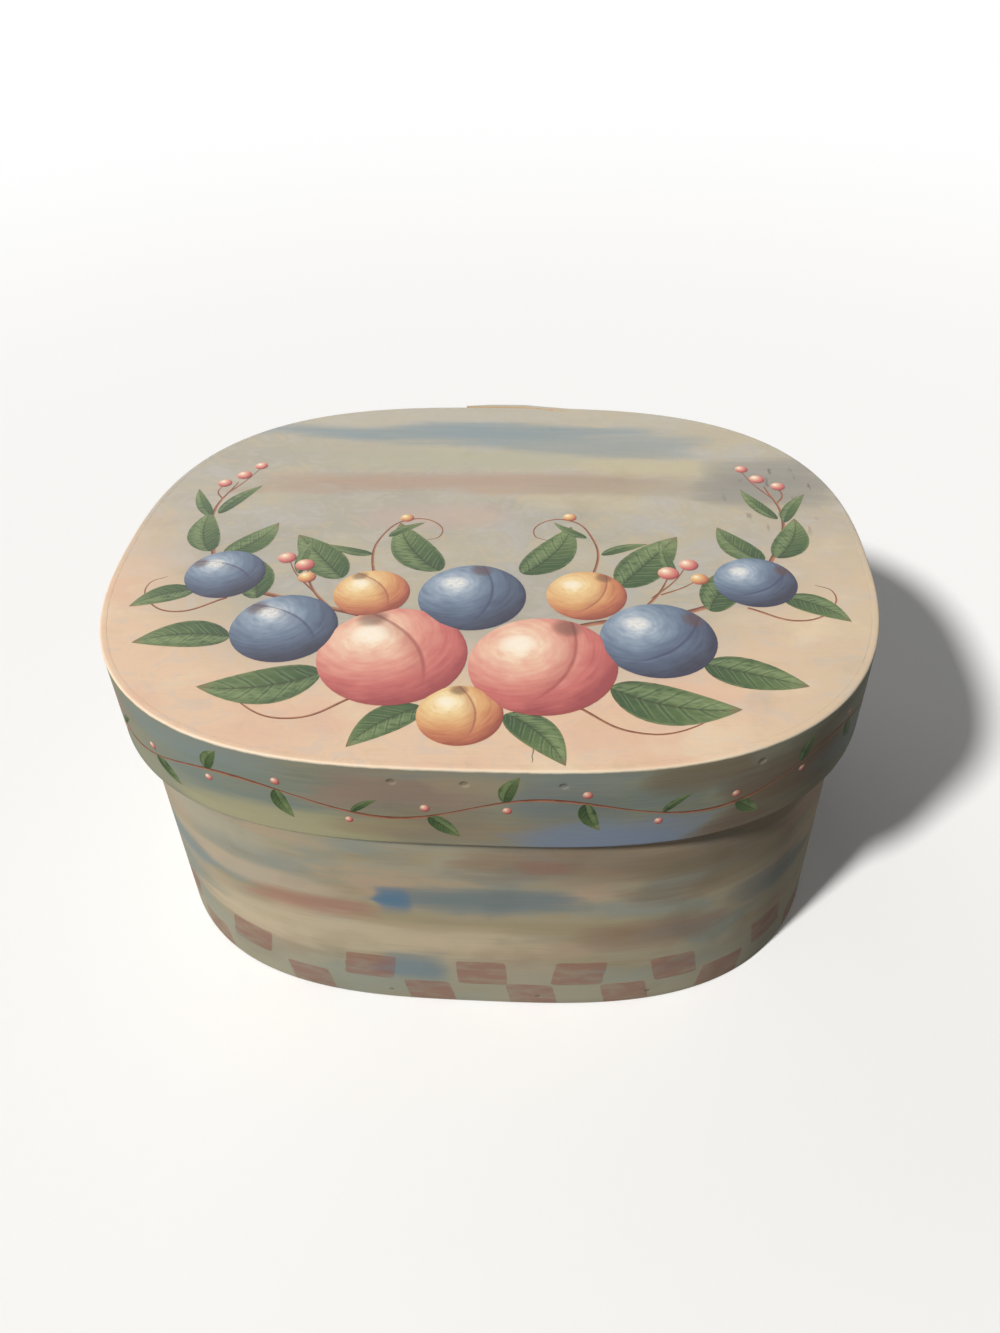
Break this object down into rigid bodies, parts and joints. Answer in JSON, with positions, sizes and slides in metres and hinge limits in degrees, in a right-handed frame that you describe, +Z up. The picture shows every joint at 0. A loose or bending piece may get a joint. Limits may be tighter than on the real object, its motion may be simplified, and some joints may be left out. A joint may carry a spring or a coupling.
{
  "type": "oval bentwood box",
  "caption": "Oval box with a deep lift-off lid, both of thin bent wood strips nailed round flat boards, painted outside in soft mottled colours.",
  "frame": {"origin": "middle of the oval at the underside, on the surface that the box stands on", "axes": "+X along the box's long axis, +Y towards the back where the strips lap, +Z up, the way the lid lifts off"},
  "size_m": [0.254, 0.2117, 0.1206],
  "materials": {
    "lid_top_paint": "satin paint in streaks of peach, grey-lilac, sage and slate blue",
    "lid_side_paint": "satin paint in streaks of sage, mauve and slate blue",
    "base_side_paint": "satin paint in streaks of olive, beige, pink and blue",
    "bare_wood": "bare sanded wood",
    "steel": "plain steel wire"
  },
  "bodies": {
    "base": {"base_band": "base_side_paint", "base_board": "bare_wood", "base_brad_01": "steel", "base_brad_02": "steel", "base_brad_03": "steel", "base_brad_04": "steel", "base_brad_05": "steel", "base_brad_06": "steel", "base_brad_07": "steel", "base_brad_08": "steel", "base_brad_09": "steel", "base_brad_10": "steel", "base_brad_11": "steel", "base_brad_12": "steel", "base_brad_13": "steel", "base_brad_14": "steel", "base_brad_15": "steel", "base_brad_16": "steel", "base_lap_tack_01": "steel", "base_lap_tack_02": "steel", "base_lap_tack_03": "steel", "base_lap_tack_04": "steel", "base_lap_tack_05": "steel", "base_lap_tack_06": "steel", "base_lap_tack_07": "steel", "base_lap_tack_08": "steel", "base_lap_tack_09": "steel", "base_lap_tack_10": "steel"},
    "lid": {"lid_band": "lid_side_paint", "lid_board": "lid_top_paint", "lid_brad_01": "steel", "lid_brad_02": "steel", "lid_brad_03": "steel", "lid_brad_04": "steel", "lid_brad_05": "steel", "lid_brad_06": "steel", "lid_brad_07": "steel", "lid_brad_08": "steel", "lid_brad_09": "steel", "lid_brad_10": "steel", "lid_brad_11": "steel", "lid_brad_12": "steel", "lid_brad_13": "steel", "lid_brad_14": "steel", "lid_brad_15": "steel", "lid_brad_16": "steel", "lid_brad_17": "steel", "lid_brad_18": "steel", "lid_brad_19": "steel", "lid_brad_20": "steel", "lid_lap_tack_01": "steel", "lid_lap_tack_02": "steel"}
  },
  "joints": [
    {"name": "lid_lift", "type": "slide", "parent": "base", "child": "lid", "axis": [0, 0, 1], "range_m": [0, 0.12]}
  ]
}
